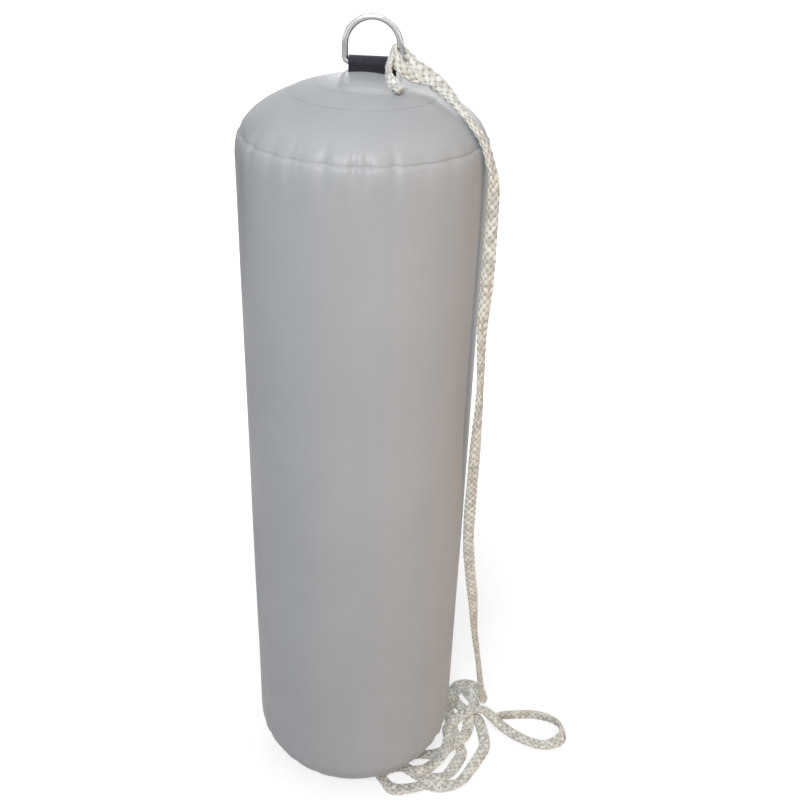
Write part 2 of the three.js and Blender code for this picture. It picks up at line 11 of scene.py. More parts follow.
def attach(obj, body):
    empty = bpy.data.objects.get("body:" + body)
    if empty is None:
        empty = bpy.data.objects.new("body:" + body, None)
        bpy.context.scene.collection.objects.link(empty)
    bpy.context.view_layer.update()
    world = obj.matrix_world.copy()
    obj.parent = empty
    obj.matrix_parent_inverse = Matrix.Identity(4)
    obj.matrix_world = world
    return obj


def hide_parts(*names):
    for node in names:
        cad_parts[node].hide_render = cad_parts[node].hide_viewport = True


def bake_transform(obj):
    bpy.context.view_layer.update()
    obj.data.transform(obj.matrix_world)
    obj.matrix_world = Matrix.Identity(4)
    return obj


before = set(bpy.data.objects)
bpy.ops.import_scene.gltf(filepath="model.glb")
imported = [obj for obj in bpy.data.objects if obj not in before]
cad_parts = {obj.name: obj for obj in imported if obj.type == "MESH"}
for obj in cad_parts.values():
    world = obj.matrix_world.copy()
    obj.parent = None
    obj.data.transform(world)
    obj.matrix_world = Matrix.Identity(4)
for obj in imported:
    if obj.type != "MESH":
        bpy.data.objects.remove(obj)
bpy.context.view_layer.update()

bl_info = {
    "name": "Inflatable Fender",
    "version": (1, 0, 0),
    "blender": (4, 5, 0),
    "location": "View3D > Sidebar > Fender",
    "description": "Builds an inflatable boat fender with its ring, line and valve, and a plain stage",
    "category": "Object",
}

MM = 0.001
SEAT = 0.3 * MM


# Settings


def length_setting(name, about, default):
    return bpy.props.FloatProperty(name=name, description=about, default=default, unit="LENGTH")


def number_setting(name, about, default, unit="NONE"):
    return bpy.props.FloatProperty(name=name, description=about, default=default, unit=unit)


def count_setting(name, about, default, low, high):
    return bpy.props.IntProperty(name=name, description=about, default=default, min=low, max=high)


def colour_setting(name, about, default):
    return bpy.props.FloatVectorProperty(name=name, description=about, subtype="COLOR", default=default)


class FenderBodySettings(bpy.types.PropertyGroup):
    radius: length_setting("Radius", "Radius of the inflated tube", 0.125)
    height: length_setting("Height", "From the floor to the crown", 0.877)
    seam_inset: length_setting("Seam Inset", "How far an end seam pulls the fabric in", 0.006)
    seam_reach: length_setting("Seam Reach", "Distance over which a seam's corner is rounded", 0.0045)
    shoulder: length_setting("Shoulder", "Height of the swelling beside a seam", 0.023)
    dome_rise: length_setting("Dome Rise", "Height of an end panel", 0.052)
    dome_fullness: number_setting("Dome Fullness", "Exponent of the dome's superellipse", 1.67)
    foot_sink: length_setting("Foot Sink", "How much of the lower dome is pressed flat", 0.005)
    foot_radius: length_setting("Foot Radius", "Radius of the flat spot underneath", 0.045)
    crease_depth: length_setting("Crease Depth", "Depth of the gathers at the seams", 0.0026)
    fabric: colour_setting("Fabric", "Colour of the coated fabric", (0.442, 0.466, 0.489))
    # Seam colour: a brownish stain together with painted shade in the seam grooves.
    seam_stain: colour_setting("Seam Stain And Shade", "Colour of the dirt in the seams", (0.3, 0.275, 0.25))


class FenderFittingSettings(bpy.types.PropertyGroup):
    offset: length_setting("Offset", "Fitting's distance from the middle", 0.0075)
    base_patch: length_setting("Base Patch", "Radius of the lower patch", 0.072)
    strap_patch: length_setting("Strap Patch", "Radius of the upper patch", 0.05)
    webbing_width: length_setting("Webbing Width", "Width of the strap", 0.045)
    webbing_thickness: length_setting("Webbing Thickness", "Thickness of the strap", 0.002)
    tail_reach: length_setting("Tail Reach", "Length of a tail under the patch", 0.035)
    wire: length_setting("Wire", "Thickness of the ring's wire", 0.006)
    webbing: colour_setting("Webbing", "Colour of the strap", (0.014, 0.0155, 0.026))
    steel: colour_setting("Steel", "Colour of the ring", (0.78, 0.78, 0.79))


class FenderLineSettings(bpy.types.PropertyGroup):
    width: length_setting("Width", "Width of the flat line", 0.013)
    thickness: length_setting("Thickness", "Thickness of the flat line", 0.006)
    strands: count_setting("Strands", "Strands that run each way round the line", 5, 4, 16)
    pitch: length_setting("Pitch", "Length of one crossing along the line", 0.0043)
    relief: length_setting("Relief", "Depth between two strands", 0.0021)
    around: count_setting("Around", "Faces round the line", 40, 8, 96)
    step: length_setting("Step", "Length of a face along the line", 0.0009)
    fibre: colour_setting("Fibre", "Colour of the line", (0.8, 0.805, 0.755))
    # Painted shade: the colour painted into the gaps between the strands.
    soil: colour_setting("Painted Gap Shade", "Colour between the strands", (0.11, 0.112, 0.095))


class FenderStageSettings(bpy.types.PropertyGroup):
    lens: number_setting("Lens", "Focal length in millimetres", 45.0)
    floor: colour_setting("Floor", "Colour of the floor", (0.55, 0.55, 0.55))
    key: number_setting("Key", "Power of the main soft light", 28.0, "POWER")
    sky: number_setting("Sky", "Brightness of the light from all round", 0.24)


# Selecting and shaping by hand


def only(piece):
    """Selects one object alone and makes it active."""
    bpy.ops.object.select_all(action="DESELECT")
    piece.select_set(True)
    bpy.context.view_layer.objects.active = piece


def begin_edit():
    bpy.ops.object.mode_set(mode="EDIT")
    bpy.ops.mesh.select_all(action="SELECT")


def end_edit(outward=False):
    """Leaves edit mode, after turning all faces outwards where that is asked for."""
    if outward:
        bpy.ops.mesh.select_all(action="SELECT")
        bpy.ops.mesh.normals_make_consistent(inside=False)
    bpy.ops.object.mode_set(mode="OBJECT")


def delete_faces(piece, inside):
    """Deletes the faces whose middle passes a test."""
    only(piece)
    begin_edit()
    mesh = bmesh.from_edit_mesh(piece.data)
    for face in mesh.faces:
        face.select_set(inside(face.calc_center_median()))
    bmesh.update_edit_mesh(piece.data)
    bpy.ops.mesh.delete(type="FACE")
    end_edit()


def drawn_line(name, points):
    """A chain of edges, drawn by extruding a single vertex from point to point."""
    bpy.ops.object.select_all(action="DESELECT")
    bpy.ops.mesh.primitive_plane_add(size=MM, location=(0, 0, 0))
    piece = bpy.context.object
    piece.name = name
    begin_edit()
    bpy.ops.mesh.merge(type="CENTER")
    bpy.ops.transform.translate(value=points[0])
    for before, after in zip(points, points[1:]):
        step = Vector(after) - Vector(before)
        bpy.ops.mesh.extrude_region_move(TRANSFORM_OT_translate={"value": step})
    end_edit()
    return piece


def turned(name, profile, steps):
    """A profile of (radius, z), spun about the Z axis and welded."""
    piece = drawn_line(name, [(radius, 0, z) for radius, z in profile])
    begin_edit()
    bpy.ops.mesh.spin(steps=steps, angle=2 * math.pi, center=(0, 0, 0), axis=(0, 0, 1))
    bpy.ops.mesh.select_all(action="SELECT")
    bpy.ops.mesh.remove_doubles(threshold=0.004 * MM)
    end_edit(outward=True)
    return piece


def strip(name, points, direction, width, steps):
    """A drawn line pulled sideways in equal steps into a band."""
    piece = drawn_line(name, points)
    begin_edit()
    step = Vector(direction) * (width / steps)
    for _ in range(steps):
        bpy.ops.mesh.extrude_region_move(TRANSFORM_OT_translate={"value": step})
    end_edit(outward=True)
    return piece


def points_of(piece):
    found = np.zeros(len(piece.data.vertices) * 3)
    piece.data.vertices.foreach_get("co", found)
    return found.reshape(-1, 3)


def set_points(piece, points):
    piece.data.vertices.foreach_set("co", points.astype(np.float32).ravel())
    piece.data.update()


def unit(values):
    """Keeps numbers between 0 and 1."""
    return np.clip(values, 0, 1)


def mark(piece, name, values):
    """Stores one number for each vertex, for the piece's material."""
    attribute = piece.data.attributes.new(name, "FLOAT", "POINT")
    attribute.data.foreach_set("value", np.asarray(values, np.float32))


def apply_modifier(piece, kind, **settings):
    only(piece)
    modifier = piece.modifiers.new(kind.title(), kind)
    for key, value in settings.items():
        setattr(modifier, key, value)
    bpy.ops.object.modifier_apply(modifier=modifier.name)


def bevel(piece, width, segments, degrees):
    angle = math.radians(degrees)
    apply_modifier(piece, "BEVEL", width=width, segments=segments, limit_method="ANGLE", angle_limit=angle)


def smooth(piece, degrees):
    only(piece)
    bpy.ops.object.shade_smooth_by_angle(angle=math.radians(degrees))


def finish_piece(piece, material, slot, body, *nodes):
    piece.data.materials.clear()
    piece.data.materials.append(material)
    if body:
        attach(piece, body)
    if nodes:
        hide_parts(*nodes)


def refined(node, edge):
    """A welded copy of a moulded part, with its edges rounded."""
    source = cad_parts[node]
    piece = bpy.data.objects.new(node + "_moulded", source.data.copy())
    bpy.context.scene.collection.objects.link(piece)
    only(piece)
    begin_edit()
    bpy.ops.mesh.remove_doubles(threshold=0.01 * MM)
    bpy.ops.mesh.dissolve_limited(angle_limit=math.radians(1))
    end_edit()
    bevel(piece, edge, 2, 35)
    smooth(piece, 35)
    return piece


# Building materials


class Nodes:
    """A node tree, with short calls that add and join its nodes."""

    def __init__(self, tree):
        self.tree = tree

    def join(self, source, target):
        self.tree.links.new(source, target)

    def node(self, kind, values, **settings):
        """Adds a node; each input that is named gets its value, or is joined to a socket."""
        node = self.tree.nodes.new("ShaderNode" + kind)
        for name, value in settings.items():
            setattr(node, name, value)
        for name, value in values.items():
            if isinstance(value, (int, float, tuple)):
                node.inputs[name].default_value = value
            else:
                self.join(value, node.inputs[name])
        return node

    def maths(self, operation, *values):
        return self.node("Math", dict(enumerate(values)), operation=operation).outputs[0]

    def spread(self, value, low, high, to_low=0.0, to_high=1.0):
        values = {"Value": value, "From Min": low, "From Max": high, "To Min": to_low, "To Max": to_high}
        return self.node("MapRange", values, interpolation_type="SMOOTHSTEP").outputs["Result"]

    def mix(self, factor, first, second):
        node = self.node("Mix", {}, data_type="RGBA")
        values = {"Factor_Float": factor, "A_Color": first, "B_Color": second}
        for socket in node.inputs:
            value = values.get(socket.identifier)
            if isinstance(value, tuple):
                socket.default_value = (*value, 1)
            elif value:
                self.join(value, socket)
        return next(socket for socket in node.outputs if socket.identifier == "Result_Color")


class Recipe(Nodes):
    """A material, with short calls for its patterns, its colour and its bumps."""

    def __init__(self, name, roughness, metallic=0.0):
        self.material = bpy.data.materials.new(name)
        self.material.use_nodes = True
        super().__init__(self.material.node_tree)
        self.shader = self.tree.nodes["Principled BSDF"]
        self.shader.inputs["Roughness"].default_value = roughness
        self.shader.inputs["Metallic"].default_value = metallic
        self.place = self.node("TexCoord", {}).outputs["Object"]
        self.normal = None

    def stretched(self, scale):
        return self.node("Mapping", {"Scale": scale, "Vector": self.place}).outputs["Vector"]

    def noise(self, scale, detail=3.0, rough=0.5, vector=None):
        values = {"Scale": scale, "Detail": detail, "Roughness": rough, "Vector": vector or self.place}
        return self.node("TexNoise", values).outputs["Fac"]

    def value_of(self, name):
        return self.node("Attribute", {}, attribute_name=name).outputs["Fac"]

    def tinted(self, tone, mask, share, colour):
        """The tone, with a share of a colour mixed in where a mask is 1."""
        return self.mix(self.maths("MULTIPLY", mask, share), tone, colour)

    def add_bump(self, height, distance, strength):
        values = {"Strength": strength, "Distance": distance, "Height": height}
        if self.normal:
            values["Normal"] = self.normal
        self.normal = self.node("Bump", values).outputs["Normal"]
        self.join(self.normal, self.shader.inputs["Normal"])

    def colour(self, value):
        self.join(value, self.shader.inputs["Base Color"])

    def roughness(self, value):
        self.join(value, self.shader.inputs["Roughness"])


def scaled(colour, factor):
    return tuple(min(1.0, channel * factor) for channel in colour)


def made_once(build):
    """Keeps a material after its first making, so that pieces of one fabric share it."""
    kept = []

    def fetch():
        if not kept:
            kept.append(build())
        return kept[0]

    return fetch


@made_once
def coated_fabric():
    """Satin coated fabric: soft blotches, fine leathery grain, and a brownish stain in the seams together
    with painted shade of their grooves.
    """
    body = bpy.context.scene.fender_body
    colour = tuple(body.fabric)
    recipe = Recipe("coated_fabric", 0.42)
    recipe.shader.inputs["Specular IOR Level"].default_value = 0.32
    blotch = recipe.spread(recipe.noise(7.0, 4.0, 0.55), 0.3, 0.7)
    tone = recipe.mix(blotch, scaled(colour, 0.965), scaled(colour, 1.03))
    streak_coords = recipe.stretched((26.0, 26.0, 3.0))
    streak = recipe.spread(recipe.noise(1.0, 3.0, 0.5, streak_coords), 0.45, 0.75)
    tone = recipe.tinted(tone, streak, 0.35, scaled(colour, 0.95))
    speck = recipe.spread(recipe.noise(420.0, 2.0, 0.6), 0.68, 0.8)
    tone = recipe.tinted(tone, speck, 0.12, scaled(colour, 0.72))
    # The seam attribute mixes in a brownish stain with painted shade in the seam grooves and, faintly, at
    # the patch rims.
    seam = recipe.value_of("seam")
    patchy = recipe.spread(recipe.noise(34.0, 3.0, 0.6), 0.32, 0.62, 0.35, 1.0)
    recipe.colour(recipe.tinted(tone, seam, patchy, tuple(body.seam_stain)))
    recipe.roughness(recipe.spread(recipe.noise(11.0, 3.0, 0.5), 0.3, 0.7, 0.32, 0.43))
    recipe.add_bump(recipe.noise(900.0, 2.0, 0.5), 0.00006, 0.5)
    recipe.add_bump(recipe.noise(38.0, 3.0, 0.5), 0.0006, 0.35)
    return recipe.material


# Distance between two ribs along the strap, and between two picks across it
RIB_PITCH = 0.0021
PICK_PITCH = 0.0014


@made_once
def strap_webbing():
    """Woven strap: ribs along it, picks across it, painted shade in the weave's hollows and painted
    highlight on its raised threads, and paler worn threads.
    """
    fitting = bpy.context.scene.fender_fitting
    colour = tuple(fitting.webbing)
    recipe = Recipe("strap_webbing", 0.72)
    recipe.shader.inputs["Sheen Weight"].default_value = 0.25
    recipe.shader.inputs["Sheen Roughness"].default_value = 0.4
    across = recipe.value_of("across")
    along = recipe.value_of("along")
    rib = recipe.maths("SINE", recipe.maths("MULTIPLY", across, 2 * math.pi / RIB_PITCH))
    pick = recipe.maths("SINE", recipe.maths("MULTIPLY", along, 2 * math.pi / PICK_PITCH))
    checker = recipe.maths("MULTIPLY", rib, pick)
    raised = recipe.maths("ADD", recipe.maths("MULTIPLY", rib, 0.6), checker)
    worn = recipe.spread(recipe.noise(160.0, 3.0, 0.6), 0.45, 0.7)
    # Painted shade and highlight: raised threads are painted lighter and the hollows between them darker.
    tone = recipe.mix(recipe.spread(raised, -1.2, 1.4), scaled(colour, 0.6), scaled(colour, 1.5))
    recipe.colour(recipe.tinted(tone, worn, 0.25, scaled(colour, 2.4)))
    recipe.add_bump(raised, 0.00028, 0.8)
    return recipe.material


@made_once
def polished_steel():
    """Polished stainless wire with small scuffs."""
    fitting = bpy.context.scene.fender_fitting
    recipe = Recipe("polished_steel", 0.14, 1.0)
    scuff = recipe.noise(260.0, 4.0, 0.65)
    tone = recipe.mix(recipe.spread(scuff, 0.35, 0.7), tuple(fitting.steel), scaled(fitting.steel, 0.86))
    recipe.colour(tone)
    recipe.roughness(recipe.spread(scuff, 0.35, 0.75, 0.06, 0.15))
    recipe.add_bump(recipe.noise(60.0, 1.0, 0.5), 0.0001, 0.12)
    return recipe.material


# Yarns side by side in one strand of the line
YARNS = 5


@made_once
def braided_fibre():
    """Off-white fibre: painted shade in the gaps between strands, which leaves the strand crowns bright,
    fine yarns and a few tan strands.
    """
    line = bpy.context.scene.fender_line
    fibre = tuple(line.fibre)
    soil = tuple(line.soil)
    recipe = Recipe("braided_fibre", 0.55)
    recipe.shader.inputs["Sheen Weight"].default_value = 0.2
    recipe.shader.inputs["Sheen Roughness"].default_value = 0.5
    height = recipe.value_of("relief")
    strand = recipe.value_of("strand_tone")
    yarn = recipe.maths("SINE", recipe.maths("MULTIPLY", recipe.value_of("yarn"), 2 * math.pi * YARNS))
    tone = recipe.mix(recipe.spread(strand, 0.0, 1.0), scaled(fibre, 0.76), scaled(fibre, 1.12))
    tan = recipe.spread(strand, 0.0, 0.13, 1.0, 0.0)
    tone = recipe.tinted(tone, tan, 0.5, (0.46, 0.4, 0.29))
    grime = recipe.spread(recipe.noise(28.0, 3.0, 0.6), 0.45, 0.75, 0.0, 0.3)
    tone = recipe.mix(grime, tone, scaled(fibre, 0.72))
    # Painted shade: the low places between the strands are painted dark, where shade would fall.
    painted_gap_shade_mask = recipe.spread(height, 0.08, 0.78, 1.0, 0.0)
    recipe.colour(recipe.tinted(tone, painted_gap_shade_mask, 0.92, soil))
    recipe.roughness(recipe.spread(height, 0.1, 0.9, 0.8, 0.48))
    fuzz = recipe.maths("ADD", recipe.maths("MULTIPLY", yarn, 0.5), recipe.noise(1500.0, 2.0))
    recipe.add_bump(fuzz, 0.00012, 0.6)
    return recipe.material


@made_once
def valve_plastic():
    """Moulded grey plastic with a fine spark grain and scuffed high spots."""
    recipe = Recipe("valve_plastic", 0.42)
    colour = (0.26, 0.27, 0.275)
    speck = recipe.spread(recipe.noise(90.0, 4.0, 0.6), 0.35, 0.7)
    recipe.colour(recipe.mix(speck, scaled(colour, 0.92), scaled(colour, 1.08)))
    recipe.roughness(recipe.spread(recipe.noise(55.0, 3.0, 0.5), 0.3, 0.7, 0.36, 0.5))
    recipe.add_bump(recipe.noise(2600.0, 2.0, 0.6), 0.00004, 0.6)
    return recipe.material


@made_once
def leash_plastic():
    """Softer, darker plastic of the strap that keeps the cap."""
    recipe = Recipe("leash_plastic", 0.55)
    colour = (0.19, 0.2, 0.205)
    speck = recipe.spread(recipe.noise(120.0, 3.0, 0.6), 0.35, 0.7)
    recipe.colour(recipe.mix(speck, scaled(colour, 0.9), scaled(colour, 1.12)))
    recipe.add_bump(recipe.noise(1800.0, 2.0, 0.6), 0.00004, 0.5)
    return recipe.material


# Form of the inflated bag

# Gathers that cross a seam: angle round the bag in degrees, width in degrees, share of the full
# depth. Those at the front of the upper seam are laid one by one, the rest go on in the same way.
upper_creases = [
    (-142, 2.6, 0.4), (-128, 2.4, 0.5), (-116.5, 2.0, 0.9), (-112.5, 1.5, 0.6), (-101.5, 2.2, 0.95),
    (-88.5, 1.7, 1.1), (-83.5, 2.1, 1.1), (-71, 1.9, 1.05), (-58, 2.4, 0.35), (-43, 3.0, 0.4),
    (-24, 2.6, 0.5), (-9, 3.0, 0.4), (8, 2.3, 0.6), (21, 2.6, 0.7), (37, 2.2, 0.5), (52, 2.7, 0.8),
    (69, 2.1, 0.6), (83, 2.4, 0.75), (99, 2.5, 0.6), (113, 2.0, 0.8), (131, 2.4, 0.5),
    (146, 2.6, 0.7), (163, 2.2, 0.6), (178, 2.5, 0.7), (-158, 2.4, 0.6),
]
lower_creases = [
    (16.4 * index - 176 + 4 * math.sin(2.3 * index), 2.3, 0.6 + 0.3 * math.sin(5.1 * index))
    for index in range(22)
]


def dome_drop(radius):
    """How far an end panel lies below its crown at a radius."""
    body = bpy.context.scene.fender_body
    share = unit(np.asarray(radius) / (body.radius - body.seam_inset))
    power = body.dome_fullness
    return body.dome_rise * (1 - (1 - share**power) ** (1 / power))


def dome_curve(inner, rise, count):
    """(radius, drop) pairs of an end panel from near its middle to its seam."""
    body = bpy.context.scene.fender_body
    seam = body.radius - body.seam_inset
    power = 2 / body.dome_fullness
    pairs = []
    for index in range(1, count + 1):
        angle = index / count * math.pi / 2
        radius = inner + (seam - inner) * math.sin(angle) ** power
        pairs.append((radius, rise * (1 - math.cos(angle) ** power)))
    return pairs


def shoulder_curve(count):
    """(radius, rise) pairs from a seam out to the wall."""
    body = bpy.context.scene.fender_body
    seam = body.radius - body.seam_inset
    pairs = []
    for index in range(1, count + 1):
        angle = index / count * math.pi / 2
        pairs.append((seam + body.seam_inset * math.sin(angle), body.shoulder * (1 - math.cos(angle))))
    return pairs


def eased(points, corner, reach):
    """Rounds the profile at one corner, which is a seam, over a reach to both sides."""
    route = np.array(points)
    lengths = np.concatenate([[0], np.cumsum(np.linalg.norm(np.diff(route, axis=0), axis=1))])
    middle = lengths[np.argmin(np.linalg.norm(route - corner, axis=1))]
    start, end = (
        np.array([np.interp(place, lengths, column) for column in route.T])
        for place in (middle - reach, middle + reach)
    )
    kept = [point for point, length in zip(points, lengths) if length < middle - reach]
    steps = 16
    for step in range(steps + 1):
        share = step / steps
        point = (1 - share) ** 2 * start + 2 * share * (1 - share) * np.array(corner) + share**2 * end
        kept.append(tuple(float(value) for value in point))
    return kept + [point for point, length in zip(points, lengths) if length > middle + reach]


def bag_profile():
    """(radius, z) of the bag, from the middle of its foot up to its crown."""
    body = bpy.context.scene.fender_body
    seam = body.radius - body.seam_inset
    foot_rise = body.dome_rise - body.foot_sink
    top_seam = body.height - body.dome_rise
    low = [(0.0, 0.0)] + [(body.foot_radius * share, 0.0) for share in (0.5, 0.8, 1.0)]
    low += dome_curve(body.foot_radius, foot_rise, 22)
    low += [(radius, foot_rise + rise) for radius, rise in shoulder_curve(12)]
    bottom_wall = foot_rise + body.shoulder
    top_wall = top_seam - body.shoulder
    rows = 44
    wall = [(body.radius, bottom_wall + (top_wall - bottom_wall) * index / rows) for index in range(1, rows)]
    high = [(0.0, body.height)] + [(r, body.height - drop) for r, drop in dome_curve(0, body.dome_rise, 34)]
    high += [(radius, top_seam - drop) for radius, drop in shoulder_curve(12)]
    profile = eased(low + wall + high[::-1], (seam, foot_rise), body.seam_reach)
    return eased(profile, (seam, top_seam), body.seam_reach)


def crease_depth(angles, creases):
    """Depth of the gathers at each angle, with a low ridge to both sides of each."""
    depth = np.zeros_like(angles)
    for middle, width, share in creases:
        away = (angles - middle + 180) % 360 - 180
        depth += share * np.exp(-((away / width) ** 2))
        depth -= 0.4 * share * np.exp(-(((np.abs(away) - 2.1 * width) / (1.3 * width)) ** 2))
    return depth


def seam_waves(angles, phase):
    turn = np.radians(angles)
    return 0.5 * np.sin(turn * 5 + phase) + 0.5 * np.sin(turn * 11 + 2 * phase)


def shape_bag(piece):
    """Moves the spun bag's vertices: seam grooves, gathers, and a faint unevenness of the wall."""
    dome_reach, wall_reach = 0.032, 0.036
    groove_width, groove_depth = 0.0007, 0.00035
    lap_place, lap_width, lap_height = 0.0024, 0.0011, 0.0002
    unevenness = 0.00022
    body = bpy.context.scene.fender_body
    points = points_of(piece)
    x, y, z = points.T
    radius = np.hypot(x, y)
    angles = np.degrees(np.arctan2(y, x))
    foot_seam = body.dome_rise - body.foot_sink
    top_seam = body.height - body.dome_rise
    change = np.zeros(len(points))
    seam_stain_and_shade_mark = np.zeros(len(points))
    for seam_z, side, creases, phase in (
        (top_seam, 1, upper_creases, 0.4), (foot_seam, -1, lower_creases, 2.1),
    ):
        height = (z - seam_z) * side
        rim = 0.75 * unit(1 - height / dome_reach) ** 2
        wall = 0.85 * unit(1 + height / wall_reach) ** 1.6
        strength = np.where(height >= 0, rim, wall)
        change -= body.crease_depth * crease_depth(angles, creases) * strength
        groove = np.exp(-((height / groove_width) ** 2))
        change -= groove_depth * groove
        change += lap_height * np.exp(-(((height - lap_place) / lap_width) ** 2))
        # The seam's stain and painted groove shade come and go, and are faint at the left.
        faint = 0.5 + 0.5 * seam_waves(angles, phase)
        stain_and_shade_to_right = 0.35 + 0.65 * unit((angles + 110) / 45)
        seam_stain_and_shade_mark = np.maximum(seam_stain_and_shade_mark, groove * stain_and_shade_to_right * unit(0.45 + 0.55 * faint))
    turn = np.radians(angles)
    wave = np.sin(turn * 3 + z * 9) + np.sin(turn * 5 - z * 15 + 1.7)
    middle = unit((z - 0.08) / 0.1) * unit((0.78 - z) / 0.1)
    change += unevenness * wave * middle
    factor = 1 + change / np.maximum(radius, 0.02)
    x *= factor
    y *= factor
    np.maximum(z, 0.0, out=z)
    set_points(piece, points)
    # The seam attribute carries the seam's stain and painted groove shade to the material.
    mark(piece, "seam", seam_stain_and_shade_mark)


class FENDER_OT_bag(bpy.types.Operator):
    """Build the inflated bag with its end seams and gathers."""

    bl_idname = "fender.bag"
    bl_label = "Inflated Bag"

    def execute(self, context):
        bag = turned("inflated_bag", bag_profile(), 352)
        shape_bag(bag)
        smooth(bag, 60)
        finish_piece(bag, coated_fabric(), "coated_fabric", "fender", "air_chamber")
        return {"FINISHED"}


class FENDER_OT_side_seam(bpy.types.Operator):
    """Build the welded lap that closes the tube, down its back."""

    bl_idname = "fender.side_seam"
    bl_label = "Side Seam"

    def execute(self, context):
        body = context.scene.fender_body
        width = 0.022
        margin = 0.022
        sunk, rise = 0.0004, 0.0011
        low = body.dome_rise + margin
        high = body.height - body.dome_rise - margin
        middle = math.radians(58)
        half = width / 2 / body.radius
        start = middle - half
        reach = body.radius + 0.0001
        rows = 60
        line = [
            (reach * math.cos(start), reach * math.sin(start), low + (high - low) * index / rows)
            for index in range(rows + 1)
        ]
        sideways = (-math.sin(middle), math.cos(middle), 0)
        lap = strip("side_seam", line, sideways, width, 14)
        points = points_of(lap)
        across = points[:, :2] @ np.array(sideways[:2]) / body.radius
        edge = unit((half - np.abs(across)) / half * 6)
        ends = unit(np.minimum(points[:, 2] - low, high - points[:, 2]) / 0.004)
        lift = body.radius - sunk + rise * np.sqrt(edge * ends)
        points[:, 0] = lift * np.cos(middle + across)
        points[:, 1] = lift * np.sin(middle + across)
        set_points(lap, points)
        apply_modifier(lap, "SOLIDIFY", thickness=0.0004, offset=-1)
        mark(lap, "seam", np.zeros(len(lap.data.vertices)))
        smooth(lap, 60)
        finish_piece(lap, coated_fabric(), "coated_fabric", "fender")
        return {"FINISHED"}


# Strap fitting

# Height of the ring's bar over the crown, and radius of the tails' corners under the upper patch
BAR_RISE = 0.0128
TAIL_CORNER = 0.012


def tail_end():
    """Distance from the strap's middle plane to the end of a tail."""
    fitting = bpy.context.scene.fender_fitting
    return fitting.webbing_thickness / 2 + SEAT / 2 + 0.003 + fitting.tail_reach


def disc(name, radius, rings, steps, thickness, place, slope=0.0028):
    """A thin round patch laid on a surface that place(x, y, lift) gives, sloping down to its rim."""
    edge = [radius, radius - slope * 0.2, radius - slope * 0.55, radius - slope]
    profile = [(0.0, 0.0)] + [(edge[-1] * index / rings, 0.0) for index in range(1, rings + 1)]
    profile += [(value, 0.0) for value in edge[-2::-1]]
    piece = turned(name, profile, steps)
    points = points_of(piece)
    away = np.hypot(points[:, 0], points[:, 1])
    fall = unit((radius - away) / slope)
    lift = thickness * fall * (2 - fall)
    set_points(piece, place(points[:, 0], points[:, 1], lift))
    return piece


class FENDER_OT_patches(bpy.types.Operator):
    """Build the two round patches that hold the strap's tails on the top dome."""

    bl_idname = "fender.patches"
    bl_label = "Strap Patches"

    def execute(self, context):
        body = context.scene.fender_body
        fitting = context.scene.fender_fitting
        base_sunk, strap_sunk = 0.00022, 0.00008
        rise_over_tails = 0.0034
        slot_x, slot_y = fitting.webbing_width / 2 + 0.0005, 0.0046

        def lay_base(x, y, lift):
            away = np.hypot(x, y)
            return np.column_stack([x, y, body.height - dome_drop(away) - base_sunk + lift])

        def lay_strap(x, y, lift):
            away = np.hypot(x, y)
            straight_x = np.abs(x - fitting.offset) - fitting.webbing_width / 2 + TAIL_CORNER
            straight_y = np.abs(y) - tail_end() + TAIL_CORNER
            beside = np.hypot(np.maximum(straight_x, 0), np.maximum(straight_y, 0)) - TAIL_CORNER - 0.0015
            rise = unit(1 - np.maximum(beside, 0) / 0.0055)
            inward = fitting.strap_patch - 0.0004 - away
            rise = rise * rise * (3 - 2 * rise) * unit(inward / 0.0032)
            wrinkle = 0.00004 * np.sin(y * 700 + np.sin(x * 230) * 3) * unit(beside * 600)
            dome = body.height - dome_drop(away) - strap_sunk
            lift = lift + rise_over_tails * rise + wrinkle * unit(lift * 4000)
            return np.column_stack([x, y, dome + lift])

        def in_slot(middle):
            return abs(middle.x - fitting.offset) < slot_x and abs(middle.y) < slot_y

        base = disc("lower_patch", fitting.base_patch, 42, 192, 0.0004, lay_base, 0.007)
        strap = disc("upper_patch", fitting.strap_patch, 60, 256, 0.0005, lay_strap, 0.0045)
        delete_faces(strap, in_slot)
        for piece, thickness, node in ((base, 0.0005, "base_patch"), (strap, 0.0006, "strap_patch")):
            apply_modifier(piece, "SOLIDIFY", thickness=thickness, offset=-1)
            radius = np.hypot(points_of(piece)[:, 0], points_of(piece)[:, 1])
            rim = unit(1 - np.abs(radius - radius.max()) / 0.0012)
            # A trace of the seam's stain and painted shade along the patch's rim.
            mark(piece, "seam", 0.03 * rim)
            smooth(piece, 50)
            finish_piece(piece, coated_fabric(), "coated_fabric", "fender", node)
        return {"FINISHED"}


def webbing_line():
    """(y, z) of the strap's middle, from one tail over the ring's bar to the other."""
    body = bpy.context.scene.fender_body
    fitting = bpy.context.scene.fender_fitting
    half = fitting.webbing_thickness / 2
    seat_lift = 2 * SEAT + 0.0009 + half
    loop = fitting.wire / 2 + 0.0006 + half
    neck = half + SEAT / 2
    turn = 0.003
    bar_z = body.height + BAR_RISE
    start = neck + turn
    line = []
    for step in range(25):
        y = start + fitting.tail_reach * (1 - step / 24)
        line.append((y, body.height - float(dome_drop(y)) + seat_lift))
    for step in range(1, 9):
        angle = step / 8 * math.pi / 2
        z = body.height + seat_lift + turn - turn * math.cos(angle)
        line.append((start - turn * math.sin(angle), z))
    meet = math.asin(neck / loop)
    for step in range(25):
        angle = meet + 0.5 + (math.pi - meet - 0.5) * step / 24
        line.append((loop * math.sin(angle), bar_z - loop * math.cos(angle)))
    return line + [(-y, z) for y, z in line[-2::-1]]


